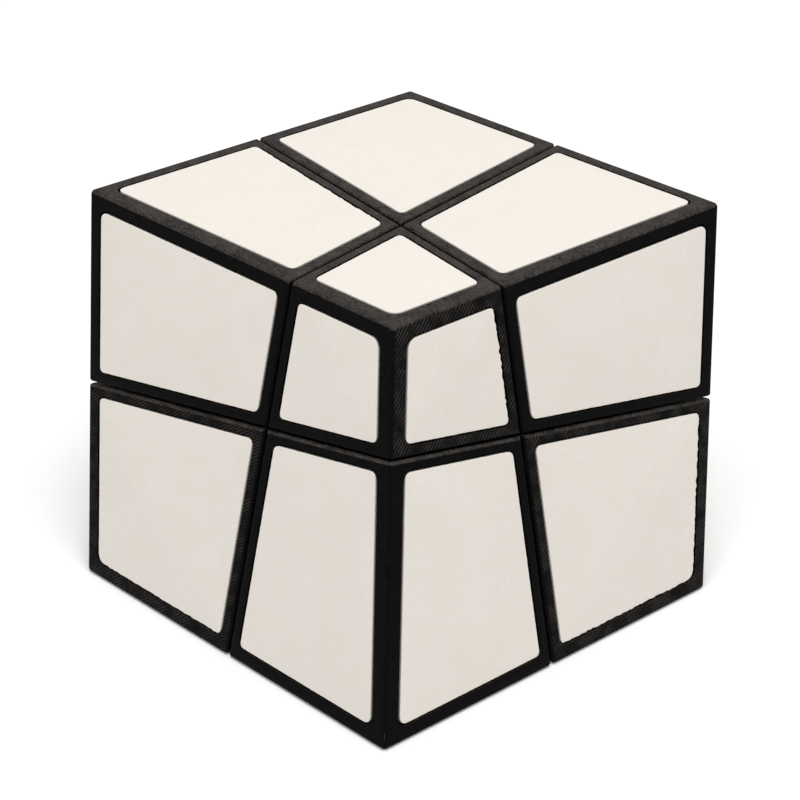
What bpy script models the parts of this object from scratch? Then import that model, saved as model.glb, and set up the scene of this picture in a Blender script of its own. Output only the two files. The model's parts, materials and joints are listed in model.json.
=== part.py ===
"""Two-layer twisty puzzle in a squashed-cube shape, with its internal turning mechanism.

Units are metres. The outer shape is a rhombohedron with six equal faces. Three planes, square to
each other and through the centre, cut it into eight corner pieces, and each plane is a turning
plane. All pieces are modelled in the mechanism's own frame, whose X, Y and Z axes are the three
turning axes, and are parented to an empty that turns that frame until the top face is level.
"""

import itertools
import math

import bmesh
import bpy
from mathutils import Matrix, Vector

MM = 0.001

# Outer shape
EDGE = 60 * MM  # every edge of the rhombohedron
FACE_LEAN = 4.32  # a face normal is (4.32, 1, 1) along the turning axes
EDGE_LEAN = 1 / (1 + FACE_LEAN)  # an edge runs along (1, -0.188, -0.188)
NORMAL_LENGTH = math.hypot(FACE_LEAN, 1, 1)
NEAR_CORNER = EDGE * (0.5 - EDGE_LEAN) / math.hypot(1, EDGE_LEAN, EDGE_LEAN)  # on each axis
FACE_DISTANCE = NEAR_CORNER * (FACE_LEAN + 2) / NORMAL_LENGTH  # centre to each outer face
OUTER_FILLET = 0.6 * MM
CUT_FILLET = 0.45 * MM
FILLET_SEGMENTS = 2
TILT = math.acos(FACE_LEAN / NORMAL_LENGTH)  # of the top layer's axis from the vertical
HEADING = math.radians(225)  # of the front left axis, before the tilt

# Clearance between any two pieces
GAP = 0.3 * MM
HALF_GAP = GAP / 2

# Tiles
TILE_OUTER_BORDER = 2.45 * MM
TILE_CUT_BORDER = 2.0 * MM
TILE_RADIUS = 1.3 * MM
TILE_PROUD = 0.05 * MM
TILE_THICK = 0.8 * MM
RECESS_DEPTH = TILE_THICK - TILE_PROUD + GAP
CUTTER_RISE = 1.5 * MM
RADIUS_SEGMENTS = 3

# Mechanism: three nested spherical zones
CORE_RADIUS = 9.5 * MM  # core inside, feet outside
FOOT_RADIUS = 14 * MM  # feet inside, retaining plates outside
SHELL_RADIUS = 18 * MM  # plates inside, corner bodies outside
FOOT_CUT = 4 * MM  # turning planes of the foot zone lie this far from the centre
PLATE_CUT = 6.5 * MM  # and those of the plate zone this far
NECK_BITE = 1.5 * MM  # how far a neck runs into the zone beyond it
NECK_INSET = 0.2 * MM
SPHERE_SEGMENTS = 24
SPHERE_RINGS = 12
BLOCK = 70 * MM  # half side of the block that solids are cut from

# Screw stack, along each turning axis
SCREW_RADIUS = 1.25 * MM
SCREW_TIP = 3.9 * MM
SCREW_HEAD_RADIUS = 2.4 * MM
SCREW_HEAD_LOW = 15.5 * MM
SCREW_HEAD_TOP = 17.1 * MM
SOCKET_RADIUS = 1.1 * MM
SOCKET_DEPTH = 1.0 * MM
BORE_RADIUS = SCREW_RADIUS + GAP
BORE_END = 3.5 * MM
SEAT_RADIUS = 2.75 * MM
SEAT_FLOOR = 11.7 * MM
SPRING_RADIUS = 2.1 * MM
SPRING_WIRE = 0.25 * MM
SPRING_TURNS = 3.5
SPRING_STEPS = 35
SPRING_SIDES = 6
WASHER_RADIUS = 2.45 * MM
WASHER_THICK = 0.4 * MM
WASHER_LOW = SCREW_HEAD_LOW - GAP - WASHER_THICK
ROUND_SIDES = 24

# Pin that locks the fixed corner to the core
PIN_RADIUS = 0.9 * MM
PIN_INNER = 5.0 * MM
PIN_OUTER = 13.0 * MM

AXES = (Vector((1, 0, 0)), Vector((0, 1, 0)), Vector((0, 0, 1)))
AXIS_NAMES = ("front_left", "front_right", "top")
CORNER_NAMES = {
    (1, 1, 1): "near",
    (1, -1, 1): "left",
    (-1, 1, 1): "right",
    (-1, -1, 1): "back",
    (1, 1, -1): "low_near",
    (1, -1, -1): "low_left",
    (-1, 1, -1): "low_right",
    (-1, -1, -1): "low_back",
}
FACE_NAMES = {
    (0, 1): "front_left",
    (1, 1): "front_right",
    (2, 1): "top",
    (0, -1): "back_right",
    (1, -1): "back_left",
    (2, -1): "bottom",
}


# ---- Scene and materials ----


def clear_scene():
    for obj in list(bpy.data.objects):
        bpy.data.objects.remove(obj, do_unlink=True)


def plastic(name, colour, roughness):
    material = bpy.data.materials.new(name)
    material.use_nodes = True
    shader = material.node_tree.nodes["Principled BSDF"]
    shader.inputs["Base Color"].default_value = (*colour, 1)
    shader.inputs["Roughness"].default_value = roughness
    shader.inputs["Metallic"].default_value = 0
    material.diffuse_color = (*colour, 1)
    return material


def steel(name):
    material = plastic(name, (0.55, 0.56, 0.58), 0.3)
    material.node_tree.nodes["Principled BSDF"].inputs["Metallic"].default_value = 1
    return material


def black_print(name):
    return plastic(name, (0.012, 0.011, 0.011), 0.45)


def white_tile(name):
    return plastic(name, (0.78, 0.74, 0.70), 0.6)


def grey_nylon(name):
    return plastic(name, (0.05, 0.05, 0.055), 0.4)


def mechanism_frame():
    """The empty that holds the turning axes, with one child empty on each."""
    frame = bpy.data.objects.new("mechanism_frame", None)
    bpy.context.collection.objects.link(frame)
    frame.matrix_world = Matrix.Rotation(-TILT, 4, "X") @ Matrix.Rotation(HEADING, 4, "Z")
    return frame


# ---- Solids ----


def solid_from(bm, name="tool"):
    bmesh.ops.recalc_face_normals(bm, faces=bm.faces)
    mesh = bpy.data.meshes.new(name)
    bm.to_mesh(mesh)
    bm.free()
    obj = bpy.data.objects.new(name, mesh)
    bpy.context.collection.objects.link(obj)
    return obj


def cut_block(planes):
    """A block cut down to the inside of every plane, given as (outward normal, offset)."""
    bm = bmesh.new()
    bmesh.ops.create_cube(bm, size=2 * BLOCK)
    for normal, offset in planes:
        normal = Vector(normal).normalized()
        everything = bm.verts[:] + bm.edges[:] + bm.faces[:]
        bmesh.ops.bisect_plane(
            bm,
            geom=everything,
            dist=1e-9,
            plane_co=normal * offset,
            plane_no=normal,
            clear_outer=True,
        )
        rim = [edge for edge in bm.edges if edge.is_boundary]
        bmesh.ops.contextual_create(bm, geom=rim)
    bmesh.ops.recalc_face_normals(bm, faces=bm.faces)
    return bm


def block(planes):
    return solid_from(cut_block(planes))


def ball(radius):
    bm = bmesh.new()
    bmesh.ops.create_uvsphere(
        bm, u_segments=SPHERE_SEGMENTS, v_segments=SPHERE_RINGS, radius=radius
    )
    return solid_from(bm)


def rod(radius, low, high, axis=AXES[2], sides=ROUND_SIDES):
    """A round or many-sided bar along an axis through the centre."""
    bm = bmesh.new()
    bmesh.ops.create_cone(
        bm, cap_ends=True, segments=sides, radius1=radius, radius2=radius, depth=high - low
    )
    turn = Vector(axis).to_track_quat("Z", "Y").to_matrix().to_4x4()
    middle = Matrix.Translation(Vector((0, 0, (low + high) / 2)))
    bmesh.ops.transform(bm, matrix=turn @ middle, verts=bm.verts)
    return solid_from(bm)


def evaluated_mesh(obj):
    graph = bpy.context.evaluated_depsgraph_get()
    return bpy.data.meshes.new_from_object(obj.evaluated_get(graph))


def apply_modifiers(obj):
    mesh = evaluated_mesh(obj)
    obj.modifiers.clear()
    obj.data = mesh
    return obj


def combine(obj, tool, operation):
    """Applies a Boolean and removes the tool."""
    boolean = obj.modifiers.new(operation.lower(), "BOOLEAN")
    boolean.operation = operation
    boolean.solver = "EXACT"
    boolean.object = tool
    bpy.context.view_layer.update()
    apply_modifiers(obj)
    bpy.data.objects.remove(tool, do_unlink=True)
    return obj


def keep_inside(obj, radius):
    return combine(obj, ball(radius), "INTERSECT")


def hollow(obj, radius):
    return combine(obj, ball(radius), "DIFFERENCE")


def finish(obj, name, make_material, parent, smooth=False):
    obj.name = name
    obj.data.name = name
    obj.data.materials.clear()
    obj.data.materials.append(make_material(name))
    if smooth:
        obj.data.shade_smooth()
        obj.data.set_sharp_from_angle(angle=math.radians(35))
    else:
        obj.data.shade_flat()
    obj.parent = parent
    return obj


def copy_of(obj):
    twin = bpy.data.objects.new(obj.name, obj.data.copy())
    bpy.context.collection.objects.link(twin)
    return twin


def remapped(obj, rows):
    """A copy of a solid with its axes mapped by a signed permutation, kept facing outward."""
    twin = copy_of(obj)
    matrix = Matrix(rows).to_4x4()
    twin.data.transform(matrix)
    if matrix.determinant() < 0:
        twin.data.flip_normals()
    return twin


# ---- Outer faces and tiles ----


def face_normal(axis, sign):
    normal = Vector((1, 1, 1))
    normal[axis] = FACE_LEAN
    return sign * normal.normalized()


def face_bounds(signs, axis, outer_border, cut_border):
    """The four lines round one face of a corner, as planes square to the face."""
    normal = face_normal(axis, signs[axis])
    bounds = []
    for other in range(3):
        if other == axis:
            continue
        cut = -signs[other] * AXES[other]
        outer = face_normal(other, signs[other])
        for plane, offset, border in ((cut, 0, cut_border), (outer, FACE_DISTANCE, outer_border)):
            along = plane - plane.dot(normal) * normal
            reach = (offset - plane.dot(normal) * FACE_DISTANCE) / along.length
            bounds.append((along.normalized(), reach - border))
    return bounds


def tile_solid(signs, axis, grow, low, high):
    """A rounded plate on one face: grow widens it, low and high are heights from the face."""
    normal = face_normal(axis, signs[axis])
    bounds = face_bounds(signs, axis, TILE_OUTER_BORDER - grow, TILE_CUT_BORDER - grow)
    bounds.append((normal, FACE_DISTANCE + high))
    bounds.append((-normal, -(FACE_DISTANCE + low)))
    bm = cut_block(bounds)
    upright = [
        edge
        for edge in bm.edges
        if abs((edge.verts[1].co - edge.verts[0].co).normalized().dot(normal)) > 0.999
    ]
    bmesh.ops.bevel(
        bm,
        geom=upright,
        offset=TILE_RADIUS + grow,
        segments=RADIUS_SEGMENTS,
        profile=0.5,
        affect="EDGES",
    )
    return solid_from(bm)


def tile(signs, axis):
    return tile_solid(signs, axis, 0, TILE_PROUD - TILE_THICK, TILE_PROUD)


def recess(signs, axis):
    return tile_solid(signs, axis, GAP, -RECESS_DEPTH, CUTTER_RISE)


# ---- Corner pieces ----


def corner_block(signs):
    """The outer body of one corner: its three faces and three cuts, with eased edges."""
    planes = [(-signs[i] * AXES[i], -HALF_GAP) for i in range(3)]
    planes += [(face_normal(i, signs[i]), FACE_DISTANCE) for i in range(3)]
    bm = cut_block(planes)
    weight = bm.edges.layers.float.new("bevel_weight_edge")
    for edge in bm.edges:
        on_cut = [max(abs(c) for c in face.normal) > 0.999 for face in edge.link_faces]
        if not any(on_cut):
            edge[weight] = 1
        elif not all(on_cut):
            edge[weight] = CUT_FILLET / OUTER_FILLET
    obj = solid_from(bm)
    bevel = obj.modifiers.new("eased_edges", "BEVEL")
    bevel.limit_method = "WEIGHT"
    bevel.width = OUTER_FILLET
    bevel.segments = FILLET_SEGMENTS
    bpy.context.view_layer.update()
    return apply_modifiers(obj)


def beyond(axis, distance):
    return (-AXES[axis], -(distance + HALF_GAP))


def within(axis, distance):
    reach = distance - HALF_GAP
    return [(AXES[axis], reach), (-AXES[axis], reach)]


def corner_root():
    """Neck and foot of the corner in the positive octant."""
    foot = keep_inside(block([beyond(i, FOOT_CUT) for i in range(3)]), FOOT_RADIUS - HALF_GAP)
    neck = keep_inside(block([beyond(i, PLATE_CUT) for i in range(3)]), SHELL_RADIUS + NECK_BITE)
    return hollow(combine(foot, neck, "UNION"), CORE_RADIUS + HALF_GAP)


def corner(signs, root):
    body = hollow(corner_block(signs), SHELL_RADIUS + HALF_GAP)
    rows = [[signs[i] if i == j else 0 for j in range(3)] for i in range(3)]
    combine(body, remapped(root, rows), "UNION")
    for axis in range(3):
        combine(body, recess(signs, axis), "DIFFERENCE")
    return body


# ---- Internal edges and centres ----


def edge_solid():
    """The internal edge between the X and Y turning axes, positive side of both."""
    foot = block([beyond(0, FOOT_CUT), beyond(1, FOOT_CUT), *within(2, FOOT_CUT)])
    keep_inside(foot, FOOT_RADIUS - HALF_GAP)
    plate = block([beyond(0, PLATE_CUT), beyond(1, PLATE_CUT), *within(2, PLATE_CUT)])
    keep_inside(plate, SHELL_RADIUS - HALF_GAP)
    hollow(plate, FOOT_RADIUS + HALF_GAP)
    inset = PLATE_CUT + NECK_INSET
    neck = block([beyond(0, inset), beyond(1, inset), *within(2, FOOT_CUT - NECK_INSET)])
    keep_inside(neck, FOOT_RADIUS + NECK_BITE)
    combine(plate, neck, "UNION")
    combine(foot, plate, "UNION")
    return hollow(foot, CORE_RADIUS + HALF_GAP)


def arm_solid(start):
    """Post and retaining plate along the positive Z axis, from a given radius out."""
    plate = block([beyond(2, PLATE_CUT), *within(0, PLATE_CUT), *within(1, PLATE_CUT)])
    keep_inside(plate, SHELL_RADIUS - HALF_GAP)
    hollow(plate, FOOT_RADIUS + HALF_GAP)
    post = block([(-AXES[2], -start), *within(0, FOOT_CUT), *within(1, FOOT_CUT)])
    keep_inside(post, FOOT_RADIUS + NECK_BITE)
    return combine(plate, post, "UNION")


def centre_solid():
    arm = hollow(arm_solid(FOOT_CUT), CORE_RADIUS + HALF_GAP)
    combine(arm, rod(BORE_RADIUS, FOOT_CUT, SHELL_RADIUS), "DIFFERENCE")
    seat = rod(SEAT_RADIUS, SEAT_FLOOR, SHELL_RADIUS + NECK_BITE)
    return combine(arm, seat, "DIFFERENCE")


def axis_rows(axis, sign=1):
    """Maps the Z axis to the given turning axis, and negates it for the fixed side."""
    rows = [[0, 0, 0], [0, 0, 0], [0, 0, 0]]
    for source, target in zip((2, 0, 1), (axis, (axis + 1) % 3, (axis + 2) % 3)):
        rows[target][source] = sign if source == 2 else 1
    return rows


def core_solid():
    core = ball(CORE_RADIUS - HALF_GAP)
    arm = arm_solid(FOOT_CUT)
    for axis in range(3):
        combine(core, remapped(arm, axis_rows(axis, -1)), "UNION")
    bpy.data.objects.remove(arm, do_unlink=True)
    for axis in AXES:
        combine(core, rod(BORE_RADIUS, BORE_END, FOOT_RADIUS, axis), "DIFFERENCE")
    return combine(core, pin_hole(), "DIFFERENCE")


# ---- Fasteners ----


def pin_direction():
    return -(AXES[0] + AXES[1] + AXES[2])


def pin_hole():
    return rod(PIN_RADIUS + GAP, PIN_INNER - GAP, PIN_OUTER + GAP, pin_direction())


def screw_solid():
    head = rod(SCREW_HEAD_RADIUS, SCREW_HEAD_LOW, SCREW_HEAD_TOP)
    shank = rod(SCREW_RADIUS, SCREW_TIP, SCREW_HEAD_LOW + SOCKET_DEPTH / 4)
    combine(head, shank, "UNION")
    high = SCREW_HEAD_TOP + CUTTER_RISE
    socket = rod(SOCKET_RADIUS, SCREW_HEAD_TOP - SOCKET_DEPTH, high, sides=6)
    return combine(head, socket, "DIFFERENCE")


def washer_solid():
    ring = rod(WASHER_RADIUS, WASHER_LOW, WASHER_LOW + WASHER_THICK)
    hole = rod(BORE_RADIUS, WASHER_LOW - GAP, WASHER_LOW + WASHER_THICK + GAP)
    return combine(ring, hole, "DIFFERENCE")


def spring_solid():
    """A round-wire coil between the washer and the floor of the seat."""
    low = SEAT_FLOOR + GAP + SPRING_WIRE
    high = WASHER_LOW - GAP - SPRING_WIRE
    bm = bmesh.new()
    rings = []
    for step in range(SPRING_STEPS + 1):
        share = step / SPRING_STEPS
        angle = 2 * math.pi * SPRING_TURNS * share
        outward = Vector((math.cos(angle), math.sin(angle), 0))
        middle = SPRING_RADIUS * outward + Vector((0, 0, low + share * (high - low)))
        ring = []
        for side in range(SPRING_SIDES):
            turn = 2 * math.pi * side / SPRING_SIDES
            offset = math.cos(turn) * outward + math.sin(turn) * AXES[2]
            ring.append(bm.verts.new(middle + SPRING_WIRE * offset))
        rings.append(ring)
    for first, second in zip(rings, rings[1:]):
        for side in range(SPRING_SIDES):
            after = (side + 1) % SPRING_SIDES
            bm.faces.new((first[side], first[after], second[after], second[side]))
    bm.faces.new(rings[0][::-1])
    bm.faces.new(rings[-1])
    return solid_from(bm)


# ---- Assembly ----


def add_corners(frame):
    root = corner_root()
    for signs, place in CORNER_NAMES.items():
        body = corner(signs, root)
        if place == "low_back":
            combine(body, pin_hole(), "DIFFERENCE")
        finish(body, f"corner_{place}", black_print, frame)
        for axis in range(3):
            face = FACE_NAMES[axis, signs[axis]]
            finish(tile(signs, axis), f"tile_{place}_{face}", white_tile, frame)
    bpy.data.objects.remove(root, do_unlink=True)


def add_edges(frame):
    template = edge_solid()
    for first, second in ((0, 1), (1, 2), (2, 0)):
        third = 3 - first - second
        for one, two in itertools.product((1, -1), repeat=2):
            rows = [[0, 0, 0], [0, 0, 0], [0, 0, 0]]
            rows[first][0] = one
            rows[second][1] = two
            rows[third][2] = 1
            sides = [FACE_NAMES[first, one], FACE_NAMES[second, two]]
            finish(remapped(template, rows), "edge_" + "_".join(sides), grey_nylon, frame)
    bpy.data.objects.remove(template, do_unlink=True)


def add_axis_hardware(frame):
    makers = (
        ("centre", centre_solid, grey_nylon, False),
        ("screw", screw_solid, steel, True),
        ("washer", washer_solid, steel, True),
        ("spring", spring_solid, steel, True),
    )
    for kind, make, make_material, smooth in makers:
        template = make()
        for axis, place in enumerate(AXIS_NAMES):
            piece = remapped(template, axis_rows(axis))
            finish(piece, f"{kind}_{place}", make_material, frame, smooth)
        bpy.data.objects.remove(template, do_unlink=True)


def main():
    clear_scene()
    frame = mechanism_frame()
    finish(core_solid(), "core", grey_nylon, frame)
    pin = rod(PIN_RADIUS, PIN_INNER, PIN_OUTER, pin_direction())
    finish(pin, "anchor_pin", steel, frame, smooth=True)
    add_axis_hardware(frame)
    add_edges(frame)
    add_corners(frame)


main()
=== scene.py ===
"""Looks of the twisty puzzle cube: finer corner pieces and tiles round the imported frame."""

import json
import math
import random

import bmesh
import bpy
from mathutils import Matrix, Vector, noise


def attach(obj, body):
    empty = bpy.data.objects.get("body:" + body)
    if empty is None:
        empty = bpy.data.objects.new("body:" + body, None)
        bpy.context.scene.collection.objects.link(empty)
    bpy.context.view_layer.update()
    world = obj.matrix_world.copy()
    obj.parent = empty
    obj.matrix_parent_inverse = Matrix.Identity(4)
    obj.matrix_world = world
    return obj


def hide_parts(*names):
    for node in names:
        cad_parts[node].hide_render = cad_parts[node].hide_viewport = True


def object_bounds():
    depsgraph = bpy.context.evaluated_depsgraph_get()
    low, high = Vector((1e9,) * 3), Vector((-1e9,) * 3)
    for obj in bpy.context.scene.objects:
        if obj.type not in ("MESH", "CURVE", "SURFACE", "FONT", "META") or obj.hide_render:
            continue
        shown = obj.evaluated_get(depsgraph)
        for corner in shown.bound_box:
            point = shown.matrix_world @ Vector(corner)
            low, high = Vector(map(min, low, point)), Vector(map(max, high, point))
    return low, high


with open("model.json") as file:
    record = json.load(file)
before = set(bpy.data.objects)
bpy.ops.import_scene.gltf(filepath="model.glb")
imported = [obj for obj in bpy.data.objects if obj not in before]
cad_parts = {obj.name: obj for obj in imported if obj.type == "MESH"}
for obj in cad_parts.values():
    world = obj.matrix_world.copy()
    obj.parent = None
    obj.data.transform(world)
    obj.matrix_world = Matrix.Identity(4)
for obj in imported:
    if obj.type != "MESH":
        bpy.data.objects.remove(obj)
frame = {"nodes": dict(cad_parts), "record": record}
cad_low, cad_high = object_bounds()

MM = 0.001
BODIES = frame["record"]["behaviour"]["bodies"]
AXES = (Vector((1, 0, 0)), Vector((0, 1, 0)), Vector((0, 0, 1)))

# Outer shape, as in the CAD
EDGE = 60 * MM
FACE_LEAN = 4.32
EDGE_LEAN = 1 / (1 + FACE_LEAN)
NORMAL_LENGTH = math.hypot(FACE_LEAN, 1, 1)
NEAR_CORNER = EDGE * (0.5 - EDGE_LEAN) / math.hypot(1, EDGE_LEAN, EDGE_LEAN)
FACE_DISTANCE = NEAR_CORNER * (FACE_LEAN + 2) / NORMAL_LENGTH
TILT = math.acos(FACE_LEAN / NORMAL_LENGTH)
TO_WORLD = Matrix.Rotation(-TILT, 4, "X") @ Matrix.Rotation(math.radians(225), 4, "Z")
OUTER_FILLET = 0.6 * MM
CUT_FILLET = 0.45 * MM
FILLET_SEGMENTS = 5
HALF_GAP = 0.15 * MM
GAP = 2 * HALF_GAP
TILE_OUTER_BORDER = 2.45 * MM
TILE_CUT_BORDER = 2.0 * MM
TILE_RADIUS = 1.3 * MM
TILE_RADII = (0.9 * MM, 0.8 * MM, 1.4 * MM, 0.8 * MM)
RIM_STEP = 0.3 * MM
RADIUS_SEGMENTS = 8
TILE_PROUD = 0.05 * MM
TILE_THICK = 0.8 * MM
RECESS_DEPTH = TILE_THICK - TILE_PROUD + GAP
TILE_PROFILE = (  # inset and height of each level, from the back to the eased front
    (0.0, TILE_PROUD - TILE_THICK),
    (0.0, -0.08 * MM),
    (0.03 * MM, -0.01 * MM),
    (0.09 * MM, 0.035 * MM),
    (0.18 * MM, TILE_PROUD),
)
BLOCK = 70 * MM  # half side of the block that solids are cut from
CUTTER_RISE = 1.5 * MM
PARALLEL = 0.999

# Mechanism zones, as in the CAD
CORE_RADIUS = 9.5 * MM
FOOT_RADIUS = 14 * MM
SHELL_RADIUS = 18 * MM
FOOT_CUT = 4 * MM
PLATE_CUT = 6.5 * MM
NECK_BITE = 1.5 * MM

CORNERS = {
    "near": (1, 1, 1),
    "left": (1, -1, 1),
    "right": (-1, 1, 1),
    "back": (-1, -1, 1),
    "low_near": (1, 1, -1),
    "low_left": (1, -1, -1),
    "low_right": (-1, 1, -1),
    "low_back": (-1, -1, -1),
}
FACE_NAMES = {
    (0, 1): "front_left",
    (1, 1): "front_right",
    (2, 1): "top",
    (0, -1): "back_right",
    (1, -1): "back_left",
    (2, -1): "bottom",
}


def body_of(node):
    """The body that carries a CAD node."""
    return next(body for body, nodes in BODIES.items() if node in nodes)


def srgb(*levels):
    """sRGB levels from 0 to 255 as linear colour."""
    linear = [((v / 255 + 0.055) / 1.055) ** 2.4 if v > 10 else v / 255 / 12.92 for v in levels]
    return (*linear, 1)


# ---- Materials ----

RASTER_PITCH = 0.45 * MM
LAYER_PITCH = 0.2 * MM


class Nodes:
    """Short ways to add nodes to one material."""

    def __init__(self, name):
        self.material = bpy.data.materials.new(name)
        self.material.use_nodes = True
        self.tree = self.material.node_tree
        self.shader = self.tree.nodes["Principled BSDF"]

    def add(self, kind, **settings):
        node = self.tree.nodes.new(kind)
        for key, value in settings.items():
            setattr(node, key, value)
        return node

    def link(self, source, target):
        self.tree.links.new(source, target)

    def math(self, operation, *values):
        node = self.add("ShaderNodeMath", operation=operation)
        for socket, value in zip(node.inputs, values):
            if isinstance(value, (int, float)):
                socket.default_value = value
            else:
                self.link(value, socket)
        return node.outputs[0]

    def dot(self, vector, direction):
        node = self.add("ShaderNodeVectorMath", operation="DOT_PRODUCT")
        self.link(vector, node.inputs[0])
        node.inputs[1].default_value = direction
        return node.outputs["Value"]

    def noise(self, vector, pitch, detail=2.0, rough=0.5):
        node = self.add("ShaderNodeTexNoise")
        self.link(vector, node.inputs["Vector"])
        node.inputs["Scale"].default_value = 1 / pitch
        node.inputs["Detail"].default_value = detail
        node.inputs["Roughness"].default_value = rough
        return node.outputs["Fac"]

    def ramp(self, value, low, high, start=0.0, end=1.0):
        """Maps start..end of a value to low..high, as numbers or as colours."""
        spread = self.add("ShaderNodeMapRange")
        self.link(value, spread.inputs["Value"])
        spread.inputs["From Min"].default_value = start
        spread.inputs["From Max"].default_value = end
        if isinstance(low, (int, float)):
            spread.inputs["To Min"].default_value = low
            spread.inputs["To Max"].default_value = high
            return spread.outputs["Result"]
        mix = self.add("ShaderNodeMix", data_type="RGBA")
        self.link(spread.outputs["Result"], mix.inputs["Factor"])
        mix.inputs[6].default_value = low
        mix.inputs[7].default_value = high
        return mix.outputs[2]

    def bump(self, height, distance, strength=1.0):
        node = self.add("ShaderNodeBump")
        node.inputs["Strength"].default_value = strength
        node.inputs["Distance"].default_value = distance
        self.link(height, node.inputs["Height"])
        self.link(node.outputs["Normal"], self.shader.inputs["Normal"])

    def coordinates(self):
        node = self.add("ShaderNodeTexCoord")
        return node.outputs["Object"], node.outputs["Normal"]

    def wave(self, along, pitch):
        """A ridge profile from 0 to 1 that repeats every pitch."""
        angle = self.math("MULTIPLY", along, 2 * math.pi / pitch)
        return self.math("MULTIPLY_ADD", self.math("SINE", angle), 0.5, 0.5)


def black_print(name, bed, raster, hatch):
    """Printed black plastic: raster lines on the bed face and layer lines on the others."""
    made = Nodes(name)
    place, normal = made.coordinates()
    wobble = made.noise(place, 3.0 * MM)
    sway = made.math("MULTIPLY", wobble, 0.25 * MM)
    raster_lines = made.wave(made.math("ADD", made.dot(place, raster), sway), RASTER_PITCH)
    upward = made.math("ADD", made.dot(place, bed), made.math("MULTIPLY", wobble, 0.03 * MM))
    layer_lines = made.wave(upward, LAYER_PITCH)
    facing = made.ramp(made.math("ABSOLUTE", made.dot(normal, bed)), 0.0, 1.0, 0.93, 0.985)
    fade = made.ramp(made.noise(place, 2.2 * MM), 0.35, 1.0, 0.35, 0.6)
    raster_part = made.math("MULTIPLY", made.math("MULTIPLY", raster_lines, facing), hatch)
    raster_part = made.math("MULTIPLY", raster_part, fade)
    other = made.math("SUBTRACT", 1.0, facing)
    layer_part = made.math("MULTIPLY", made.math("MULTIPLY", layer_lines, other), 0.12)
    grit = made.noise(place, 0.16 * MM, 3.0, 0.65)
    blotch = made.noise(place, 0.9 * MM, 2.0, 0.6)
    height = made.math("ADD", raster_part, layer_part)
    height = made.math("ADD", height, made.math("MULTIPLY", grit, 0.3))
    height = made.math("ADD", height, made.math("MULTIPLY", blotch, 0.4))
    made.bump(height, 0.06 * MM)
    # Painted highlight: the raster ridges are painted lighter grey; the blotch adds random tone on
    # top
    peak = made.math("POWER", raster_part, 2.0)
    ridge = made.math("ADD", peak, made.math("MULTIPLY", blotch, 0.25))
    colour = made.ramp(ridge, srgb(5, 5, 5), srgb(58, 54, 51), 0.12, 1.1)
    made.link(colour, made.shader.inputs["Base Color"])
    made.link(made.ramp(blotch, 0.42, 0.62, 0.3, 0.7), made.shader.inputs["Roughness"])
    made.shader.inputs["Specular IOR Level"].default_value = 0.06
    return made.material


def painted_highlight_rim_print(name):
    """The same plastic where it is rounded or faces up: painted a lighter, mottled grey as a
    highlight from the overhead light, and speckled with painted glints.
    """
    made = Nodes(name)
    place = made.coordinates()[0]
    grit = made.noise(place, 0.22 * MM, 3.0, 0.7)
    fleck = made.noise(place, 0.45 * MM, 2.0, 0.6)
    blotch = made.noise(place, 2.4 * MM, 3.0, 0.6)
    mixed = made.math("ADD", made.math("MULTIPLY", fleck, 0.6), made.math("MULTIPLY", blotch, 0.4))
    # Painted highlight: this base colour is a lighter grey than the black faces and stands in for
    # overhead light; the mottling is random tone
    highlight_grey = made.ramp(mixed, srgb(19, 17, 16), srgb(62, 57, 53), 0.38, 0.62)
    # Painted glints: bright specks mixed into the base colour
    painted_glint = made.math("MULTIPLY", made.ramp(grit, 0.0, 1.0, 0.58, 0.72), blotch)
    mix = made.add("ShaderNodeMix", data_type="RGBA")
    made.link(painted_glint, mix.inputs["Factor"])
    made.link(highlight_grey, mix.inputs[6])
    mix.inputs[7].default_value = srgb(128, 116, 108)
    made.link(mix.outputs[2], made.shader.inputs["Base Color"])
    height = made.math("ADD", made.math("MULTIPLY", grit, 0.6), made.math("MULTIPLY", fleck, 0.8))
    made.bump(height, 0.07 * MM)
    made.link(made.ramp(fleck, 0.34, 0.6, 0.3, 0.7), made.shader.inputs["Roughness"])
    made.shader.inputs["Specular IOR Level"].default_value = 0.16
    return made.material


def tile_plastic(name, tone):
    """Matte off-white tile with a fine grain and faint mottling."""
    made = Nodes(name)
    place = made.coordinates()[0]
    grain = made.noise(place, 0.35 * MM, 4.0, 0.7)
    cloud = made.noise(place, 5.0 * MM, 3.0, 0.6)
    speck = made.noise(place, 0.7 * MM, 2.0, 0.5)
    mixed = made.math("ADD", made.math("MULTIPLY", cloud, 0.45), made.math("MULTIPLY", speck, 0.55))
    light = srgb(*(min(255, v * tone) for v in (232, 227, 220)))
    dark = srgb(*(v * tone for v in (230, 223, 214)))
    made.link(made.ramp(mixed, dark, light, 0.35, 0.65), made.shader.inputs["Base Color"])
    height = made.math("ADD", grain, made.math("MULTIPLY", speck, 0.8))
    made.bump(height, 0.03 * MM)
    made.link(made.ramp(speck, 0.5, 0.68, 0.3, 0.7), made.shader.inputs["Roughness"])
    made.shader.inputs["Specular IOR Level"].default_value = 0.35
    return made.material


def inner_plastic(name):
    """Dark grey moulded plastic with faint flow marks."""
    made = Nodes(name)
    place = made.coordinates()[0]
    fine = made.noise(place, 0.25 * MM, 3.0, 0.6)
    broad = made.noise(place, 2.5 * MM, 2.0)
    made.link(
        made.ramp(broad, srgb(44, 44, 46), srgb(62, 62, 65), 0.3, 0.7),
        made.shader.inputs["Base Color"],
    )
    made.bump(fine, 0.02 * MM)
    made.link(made.ramp(broad, 0.32, 0.5, 0.3, 0.7), made.shader.inputs["Roughness"])
    return made.material


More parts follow.
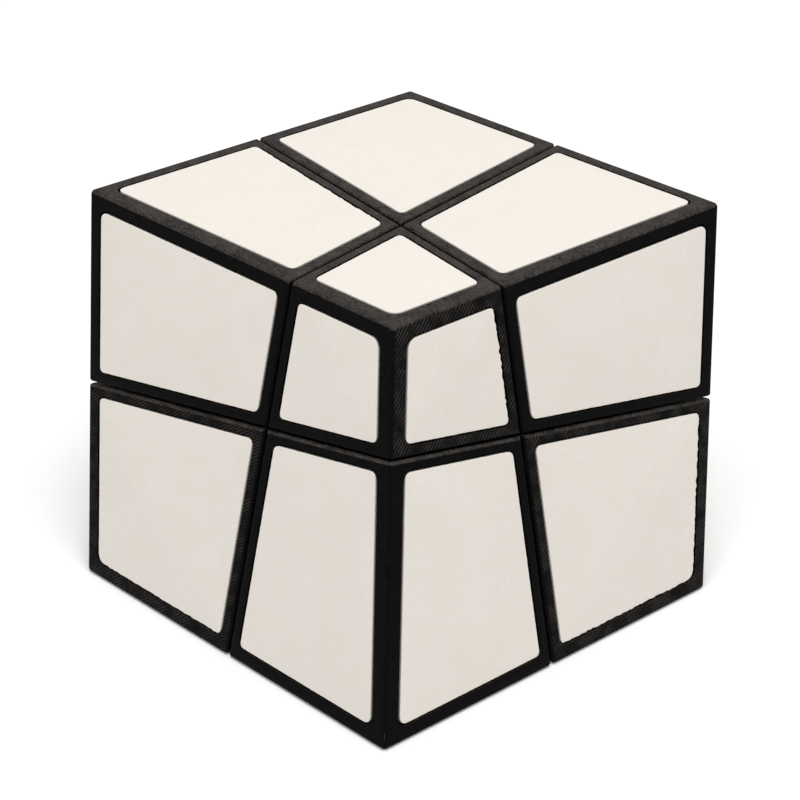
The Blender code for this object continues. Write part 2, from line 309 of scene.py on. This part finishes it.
def turned_steel(name):
    """Bright steel with fine turning marks."""
    made = Nodes(name)
    place = made.coordinates()[0]
    streak = made.noise(place, 0.18 * MM, 4.0, 0.7)
    smudge = made.noise(place, 1.5 * MM, 2.0)
    made.link(
        made.ramp(smudge, srgb(178, 178, 182), srgb(208, 208, 210), 0.3, 0.7),
        made.shader.inputs["Base Color"],
    )
    made.shader.inputs["Metallic"].default_value = 1
    made.bump(streak, 0.008 * MM)
    made.link(made.ramp(smudge, 0.2, 0.36, 0.3, 0.7), made.shader.inputs["Roughness"])
    return made.material


def floor_paper(name):
    made = Nodes(name)
    place = made.coordinates()[0]
    cloud = made.noise(place, 60 * MM, 2.0)
    made.link(
        made.ramp(cloud, srgb(252, 252, 252), srgb(254, 254, 254), 0.3, 0.7),
        made.shader.inputs["Base Color"],
    )
    made.shader.inputs["Roughness"].default_value = 0.9
    made.shader.inputs["Specular IOR Level"].default_value = 0.1
    return made.material


# ---- Solids for the corner pieces ----


def solid_from(bm, name="tool"):
    """An object from a finished bmesh, with its faces turned out."""
    bmesh.ops.recalc_face_normals(bm, faces=bm.faces)
    mesh = bpy.data.meshes.new(name)
    bm.to_mesh(mesh)
    bm.free()
    obj = bpy.data.objects.new(name, mesh)
    bpy.context.scene.collection.objects.link(obj)
    return obj


def cut_block(planes):
    """The convex solid inside planes, each a normal and its distance from the centre."""
    bm = bmesh.new()
    bmesh.ops.create_cube(bm, size=2 * BLOCK)
    for normal, offset in planes:
        normal = Vector(normal).normalized()
        bmesh.ops.bisect_plane(
            bm,
            geom=bm.verts[:] + bm.edges[:] + bm.faces[:],
            dist=1e-9,
            plane_co=normal * offset,
            plane_no=normal,
            clear_outer=True,
        )
        bmesh.ops.contextual_create(bm, geom=[edge for edge in bm.edges if edge.is_boundary])
    bmesh.ops.recalc_face_normals(bm, faces=bm.faces)
    return bm


def ball(radius):
    bm = bmesh.new()
    bmesh.ops.create_uvsphere(bm, u_segments=72, v_segments=36, radius=radius)
    return solid_from(bm)


def combine(obj, tool, operation):
    boolean = obj.modifiers.new("join", "BOOLEAN")
    boolean.operation = operation
    boolean.solver = "EXACT"
    boolean.object = tool
    bpy.context.view_layer.update()
    settle(obj)
    bpy.data.objects.remove(tool, do_unlink=True)
    return obj


def settle(obj):
    """Makes the evaluated mesh the object's own."""
    graph = bpy.context.evaluated_depsgraph_get()
    mesh = bpy.data.meshes.new_from_object(obj.evaluated_get(graph))
    obj.modifiers.clear()
    obj.data = mesh
    return obj


def face_normal(axis, sign):
    normal = Vector((1, 1, 1))
    normal[axis] = FACE_LEAN
    return sign * normal.normalized()


def face_bounds(signs, axis, grow=0.0):
    """Lines round one face of a corner: cut, outer, cut, outer, as planes square to it."""
    normal = face_normal(axis, signs[axis])
    bounds = []
    for other in range(3):
        if other == axis:
            continue
        cut = -signs[other] * AXES[other]
        outer = face_normal(other, signs[other])
        borders = ((cut, 0, TILE_CUT_BORDER), (outer, FACE_DISTANCE, TILE_OUTER_BORDER))
        for plane, offset, border in borders:
            along = plane - plane.dot(normal) * normal
            reach = (offset - plane.dot(normal) * FACE_DISTANCE) / along.length
            bounds.append((along.normalized(), reach - border + grow))
    return bounds


def recess(signs, axis):
    """Cutter for the pocket that a tile sits in."""
    normal = face_normal(axis, signs[axis])
    bounds = face_bounds(signs, axis, GAP)
    bounds.append((normal, FACE_DISTANCE + CUTTER_RISE))
    bounds.append((-normal, -(FACE_DISTANCE - RECESS_DEPTH)))
    bm = cut_block(bounds)
    upright = [
        edge
        for edge in bm.edges
        if abs((edge.verts[1].co - edge.verts[0].co).normalized().dot(normal)) > PARALLEL
    ]
    bmesh.ops.bevel(
        bm,
        geom=upright,
        offset=TILE_RADIUS + GAP,
        segments=RADIUS_SEGMENTS,
        profile=0.5,
        affect="EDGES",
    )
    return solid_from(bm)


def beyond(axis, distance):
    return (-AXES[axis], -(distance + HALF_GAP))


def corner_root(signs):
    """Neck and foot that hold a corner in the mechanism."""
    foot = solid_from(cut_block([beyond(i, FOOT_CUT) for i in range(3)]))
    combine(foot, ball(FOOT_RADIUS - HALF_GAP), "INTERSECT")
    neck = solid_from(cut_block([beyond(i, PLATE_CUT) for i in range(3)]))
    combine(neck, ball(SHELL_RADIUS + NECK_BITE), "INTERSECT")
    combine(foot, neck, "UNION")
    combine(foot, ball(CORE_RADIUS + HALF_GAP), "DIFFERENCE")
    turn = Matrix([[signs[i] if i == j else 0 for j in range(3)] for i in range(3)]).to_4x4()
    foot.data.transform(turn)
    if turn.determinant() < 0:
        foot.data.flip_normals()
    return foot


def corner_solid(signs):
    """One corner piece in the mechanism's frame."""
    planes = [(-signs[i] * AXES[i], -HALF_GAP) for i in range(3)]
    planes += [(face_normal(i, signs[i]), FACE_DISTANCE) for i in range(3)]
    bm = cut_block(planes)
    weight = bm.edges.layers.float.new("bevel_weight_edge")
    for edge in bm.edges:
        on_cut = [max(abs(c) for c in face.normal) > PARALLEL for face in edge.link_faces]
        if not any(on_cut):
            edge[weight] = 1
        elif not all(on_cut):
            edge[weight] = CUT_FILLET / OUTER_FILLET
    obj = solid_from(bm)
    bevel = obj.modifiers.new("eased_edges", "BEVEL")
    bevel.limit_method = "WEIGHT"
    bevel.width = OUTER_FILLET
    bevel.segments = FILLET_SEGMENTS
    bpy.context.view_layer.update()
    settle(obj)
    combine(obj, ball(SHELL_RADIUS + HALF_GAP), "DIFFERENCE")
    combine(obj, corner_root(signs), "UNION")
    for axis in range(3):
        combine(obj, recess(signs, axis), "DIFFERENCE")
    return obj


def corner_piece(place, signs, templates):
    """A corner from the near or the odd-one-out template, mapped to its octant."""
    total = sum(signs)
    if abs(total) == 3:
        source, odd, flip = templates["near"], 2, signs[0]
    else:
        flip = 1 if total > 0 else -1
        odd = [s * flip for s in signs].index(-1)
        source = templates["low_near"]
    rows = [[0, 0, 0], [0, 0, 0], [0, 0, 0]]
    for step, start in enumerate((2, 0, 1)):
        rows[(odd + step) % 3][start] = flip
    turn = Matrix(rows).to_4x4()
    mesh = source.data.copy()
    mesh.transform(TO_WORLD @ turn)
    if turn.determinant() < 0:
        mesh.flip_normals()
    obj = bpy.data.objects.new(f"shell_{place}", mesh)
    bpy.context.scene.collection.objects.link(obj)
    mesh.shade_smooth()
    mesh.set_sharp_from_angle(angle=SOFT_ANGLE)
    return obj


# ---- Tiles ----


def meet(first, second, normal, height):
    """The point where two side planes meet a plane at this height over the face."""
    rows = Matrix((first[0], second[0], normal))
    return rows.inverted() @ Vector((first[1], second[1], FACE_DISTANCE + height))


def rounded_outline(corners, radii, step_length):
    """A closed outline with rounded corners, with evenly spaced points."""
    points = []
    count = len(corners)
    for i in range(count):
        here = corners[i]
        back = (corners[i - 1] - here).normalized()
        ahead = (corners[(i + 1) % count] - here).normalized()
        half = back.angle(ahead) / 2
        radius = radii[i]
        next_radius = radii[(i + 1) % count]
        start = here + back * radius
        end = here + ahead * radius
        for step in range(RADIUS_SEGMENTS + 1):
            t = step / RADIUS_SEGMENTS
            bend = (1 - t) * (1 - t) * start + 2 * t * (1 - t) * here + t * t * end
            chord = start.lerp(end, t)
            points.append(bend.lerp(chord, 0.12 * math.sin(half)))
        far = corners[(i + 1) % count]
        stop = far + (here - far).normalized() * next_radius
        steps = max(2, int((stop - end).length / step_length))
        points += [end.lerp(stop, k / steps) for k in range(1, steps)]
    return points


def ragged(points, middle, normal, rough, seed):
    """Moves an outline in and out in its plane: a little all round, more along rough sides."""
    moved = []
    count = len(points)
    for i, point in enumerate(points):
        along = (points[(i + 1) % count] - points[i - 1]).normalized()
        outward = along.cross(normal)
        if outward.dot(point - middle) < 0:
            outward = -outward
        fine = noise.noise(point / (0.55 * MM) + Vector((seed, 0, 0)))
        broad = noise.noise(point / (4 * MM) + Vector((0, seed, 0)))
        amount = PLAIN_RIM
        for start, end, extra in rough:
            side = (end - start).normalized()
            if (point - start).cross(side).length < ON_SIDE:
                amount = extra
        moved.append(point + outward * amount * (0.7 * fine + 0.3 * broad - 0.1))
    return moved


def tile_mesh(place, signs, axis, rough_sides, seed):
    """A thin plate with a slightly uneven rim and an eased, faintly crowned top."""
    normal = face_normal(axis, signs[axis])
    cut_a, outer_a, cut_b, outer_b = face_bounds(signs, axis)
    ring = ((cut_a, cut_b), (outer_a, cut_b), (outer_a, outer_b), (cut_a, outer_b))
    corners = [meet(one, two, normal, 0) for one, two in ring]
    middle = sum(corners, Vector()) / 4
    outline = rounded_outline(corners, TILE_RADII, RIM_STEP)
    rough = [(corners[k], corners[(k + 1) % 4], extra) for k, extra in rough_sides]
    outline = ragged(outline, middle, normal, rough, seed)
    bm = bmesh.new()
    rings = []
    count = len(outline)
    for inset, height in TILE_PROFILE:
        ring = []
        for i, point in enumerate(outline):
            along = (outline[(i + 1) % count] - outline[i - 1]).normalized()
            inward = normal.cross(along)
            if inward.dot(middle - point) < 0:
                inward = -inward
            ring.append(bm.verts.new(point + inward * inset + normal * height))
        rings.append(ring)
    for low, high in zip(rings, rings[1:]):
        for i in range(count):
            j = (i + 1) % count
            bm.faces.new((low[i], low[j], high[j], high[i]))
    bm.faces.new(rings[0][::-1])
    bm.faces.new(rings[-1])
    obj = solid_from(bm, f"face_{place}_{FACE_NAMES[axis, signs[axis]]}")
    obj.data.transform(TO_WORLD)
    obj.data.shade_smooth()
    obj.data.set_sharp_from_angle(angle=TILE_SOFT_ANGLE)
    return obj


# ---- Assembly ----

BED_AXIS = {
    "near": 1,
    "left": 2,
    "right": 2,
    "back": 2,
    "low_near": 0,
    "low_left": 0,
    "low_right": 1,
    "low_back": 2,
}
HATCH = {"near": 1.0, "low_left": 0.9, "low_right": 1.0, "low_near": 0.12}
# Sides with a rough rim: 0 and 3 lie along the cuts, 1 and 2 along the outer edges
ROUGH_SIDES = {
    "near_front_right": ((3, 0.3 * MM),),
    "low_right_front_right": ((1, 0.24 * MM), (2, 0.24 * MM)),
    "left_top": ((3, 0.2 * MM),),
    "low_left_front_left": ((2, 0.16 * MM),),
}
ON_SIDE = 0.02 * MM
PLAIN_RIM = 0.04 * MM
PLAIN_HATCH = 0.35
RASTER_ANGLE = math.radians(42)
RIM_FLATNESS = 0.9995
TOP_FACING = 0.8
ROUNDED_FACING = 0.6
SEED_STEP = 7.3
TONE_SEED = 11
TONE_RANGE = (0.992, 1.003)
SOFT_ANGLE = math.radians(28)
TILE_SOFT_ANGLE = math.radians(50)
STRAND_STEPS = 24
STRAND_SIDES = 8
STRAND_TAPER = 0.6
STRAND_REACH = 0.02


def raster_direction(bed):
    """Across the raster lines, which lean to the right as they climb the face."""
    up = Vector((0, 0, 1))
    across = up.cross(bed)
    across = across.normalized() if across.length > 0.2 else Vector((1, 0, 0))
    rising = bed.cross(across)
    return (rising * math.cos(RASTER_ANGLE) - across * math.sin(RASTER_ANGLE)).normalized()


def build_shells():
    templates = {name: corner_solid(CORNERS[name]) for name in ("near", "low_near")}
    turn = TO_WORLD.to_3x3()
    flats = [turn @ face_normal(axis, 1) for axis in range(3)] + [turn @ axis for axis in AXES]
    # Painted highlight material: a lighter grey standing in for overhead light on rounded and
    # upward faces
    rim = painted_highlight_rim_print("black_print_painted_highlight_rim")
    for place, signs in CORNERS.items():
        obj = corner_piece(place, signs, templates)
        axis = BED_AXIS[place]
        bed = (TO_WORLD.to_3x3() @ face_normal(axis, signs[axis])).normalized()
        raster = raster_direction(bed)
        finish = black_print(f"black_print_{place}", bed, raster, HATCH.get(place, PLAIN_HATCH))
        obj.data.materials.clear()
        obj.data.materials.append(finish)
        obj.data.materials.append(rim)
        # Painted highlight: fillets facing up and the top faces take the lighter material, as if
        # lit from above
        for polygon in obj.data.polygons:
            flat = max(abs(polygon.normal.dot(normal)) for normal in flats)
            outside = polygon.center.length > SHELL_RADIUS + NECK_BITE
            rounded = flat < RIM_FLATNESS and outside and polygon.normal.z > ROUNDED_FACING
            upper = polygon.normal.z > TOP_FACING and polygon.center.z > FACE_DISTANCE * 0.9
            polygon.material_index = 1 if rounded or upper else 0
        node = f"corner_{place}"
        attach(obj, body_of(node))
        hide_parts(node)
    for template in templates.values():
        bpy.data.objects.remove(template, do_unlink=True)


def build_tiles():
    tones = random.Random(TONE_SEED)
    seed = 0
    for place, signs in CORNERS.items():
        for axis in range(3):
            seed += 1
            label = f"{place}_{FACE_NAMES[axis, signs[axis]]}"
            obj = tile_mesh(place, signs, axis, ROUGH_SIDES.get(label, ()), seed * SEED_STEP)
            obj.data.materials.append(tile_plastic(f"tile_{label}", tones.uniform(*TONE_RANGE)))
            node = f"tile_{label}"
            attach(obj, body_of(node))
            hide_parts(node)


def finish_inside():
    """Materials for the CAD nodes that stay as they are."""
    plastic = inner_plastic("inner_plastic")
    metal = turned_steel("turned_steel")
    for name, node in frame["nodes"].items():
        if name.startswith(("corner", "tile")):
            continue
        is_metal = name.startswith(("screw", "washer", "spring", "anchor"))
        if not node.data.materials:
            node.data.materials.append(None)
        for i in range(len(node.material_slots)):
            node.material_slots[i].material = metal if is_metal else plastic


def curve_point(knots, t):
    """A point of the smooth line through the knots, with t from 0 to 1."""
    span = min(int(t * (len(knots) - 1)), len(knots) - 2)
    u = t * (len(knots) - 1) - span
    before = knots[max(span - 1, 0)]
    start, end = knots[span], knots[span + 1]
    after = knots[min(span + 2, len(knots) - 1)]
    bend = (end - before) * u + (2 * before - 5 * start + 4 * end - after) * u * u
    bend += (3 * start - before - 3 * end + after) * u * u * u
    return start + bend / 2


def hair(name, body, knots, radius):
    """A stray printed strand that thins to its tip."""
    bm = bmesh.new()
    rings = []
    for i in range(STRAND_STEPS + 1):
        t = i / STRAND_STEPS
        here = curve_point(knots, t)
        ahead = curve_point(knots, min(t + STRAND_REACH, 1))
        ahead -= curve_point(knots, max(t - STRAND_REACH, 0))
        turn = ahead.to_track_quat("Z", "X")
        wide = radius * (1 - STRAND_TAPER * t)
        ring = []
        for k in range(STRAND_SIDES):
            angle = 2 * math.pi * k / STRAND_SIDES
            spoke = Vector((wide * math.cos(angle), wide * math.sin(angle), 0))
            ring.append(bm.verts.new(here + turn @ spoke))
        rings.append(ring)
    for low, high in zip(rings, rings[1:]):
        for k in range(STRAND_SIDES):
            m = (k + 1) % STRAND_SIDES
            bm.faces.new((low[k], low[m], high[m], high[k]))
    bm.faces.new(rings[0][::-1])
    bm.faces.new(rings[-1])
    obj = solid_from(bm, name)
    obj.data.shade_smooth()
    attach(obj, body)
    return obj


def rim_point(place, first, second, along, lift):
    """A point over the outer edge between two faces: along runs from the cut to the far end."""
    signs = CORNERS[place]
    third = 3 - first - second
    rows = [face_normal(first, signs[first]), face_normal(second, signs[second])]
    near = Matrix((*rows, AXES[third])).inverted() @ Vector((FACE_DISTANCE, FACE_DISTANCE, 0))
    far_rows = Matrix((*rows, face_normal(third, signs[third])))
    far = far_rows.inverted() @ Vector((FACE_DISTANCE,) * 3)
    outward = (rows[0] + rows[1]).normalized()
    return TO_WORLD @ (near.lerp(far, along) + outward * lift)


STRAND_RADIUS = 0.06 * MM
STRANDS = (  # name, corner, the two faces that meet, and (place along the edge, lift in mm)
    ("strand_left_rim", "left", 2, 0, ((0.42, -0.25), (0.45, -0.08), (0.5, -0.12), (0.54, -0.3))),
    ("strand_low_tip", "low_near", 0, 1, ((0.93, -0.3), (0.95, -0.1), (0.97, -0.25))),
    ("strand_right_rim", "right", 2, 1, ((0.2, -0.3), (0.22, -0.15), (0.25, -0.3))),
)


def build_hairs():
    for name, place, first, second, knots in STRANDS:
        points = [rim_point(place, first, second, along, lift * MM) for along, lift in knots]
        strand = hair(name, body_of(f"corner_{place}"), points, STRAND_RADIUS)
        # The strands take the same painted-highlight grey as the rims
        strand.data.materials.append(bpy.data.materials["black_print_painted_highlight_rim"])


# ---- Studio ----

FLOOR_DROP = 0.0001
FLOOR_REACH = 3.0
WORLD_STRENGTH = 0.56
SOFTBOXES = (  # name, place, side and power
    ("top_light", (0.05, 0.12, 0.75), 0.5, 3.4),
    ("left_light", (-0.55, -0.5, 0.45), 0.35, 0.75),
    ("right_light", (0.6, -0.45, 0.4), 0.35, 0.4),
)
CAMERA_PLACE = (0.007865, -0.207775, 0.159958)
CAMERA_TURN = (52.0639, -0.1052, 2.1836)  # degrees about X, Y and Z
CAMERA_LENS = 75.646
SENSOR_WIDTH = 36
CLIP_START = 0.01


def build_floor():
    bm = bmesh.new()
    bmesh.ops.create_grid(bm, x_segments=8, y_segments=8, size=FLOOR_REACH)
    floor = solid_from(bm, "floor")
    floor.location.z = cad_low.z - FLOOR_DROP
    floor.data.materials.append(floor_paper("floor_paper"))


def softbox(name, place, size, power):
    light = bpy.data.lights.new(name, "AREA")
    light.shape = "SQUARE"
    light.size = size
    light.energy = power
    obj = bpy.data.objects.new(name, light)
    bpy.context.scene.collection.objects.link(obj)
    obj.location = place
    obj.rotation_euler = (-Vector(place)).to_track_quat("-Z", "Y").to_euler()


def build_light():
    world = bpy.data.worlds.new("studio")
    world.use_nodes = True
    background = world.node_tree.nodes["Background"]
    background.inputs["Color"].default_value = (1, 0.99, 0.98, 1)
    background.inputs["Strength"].default_value = WORLD_STRENGTH
    bpy.context.scene.world = world
    for name, place, size, power in SOFTBOXES:
        softbox(name, place, size, power)


def build_camera():
    data = bpy.data.cameras.new("camera")
    data.lens = CAMERA_LENS
    data.sensor_width = SENSOR_WIDTH
    data.clip_start = CLIP_START
    camera = bpy.data.objects.new("camera", data)
    bpy.context.scene.collection.objects.link(camera)
    camera.location = CAMERA_PLACE
    camera.rotation_euler = [math.radians(angle) for angle in CAMERA_TURN]
    bpy.context.scene.camera = camera


build_camera()
build_light()
build_floor()
build_shells()
build_tiles()
build_hairs()
finish_inside()
bpy.context.scene.view_settings.view_transform = "Standard"
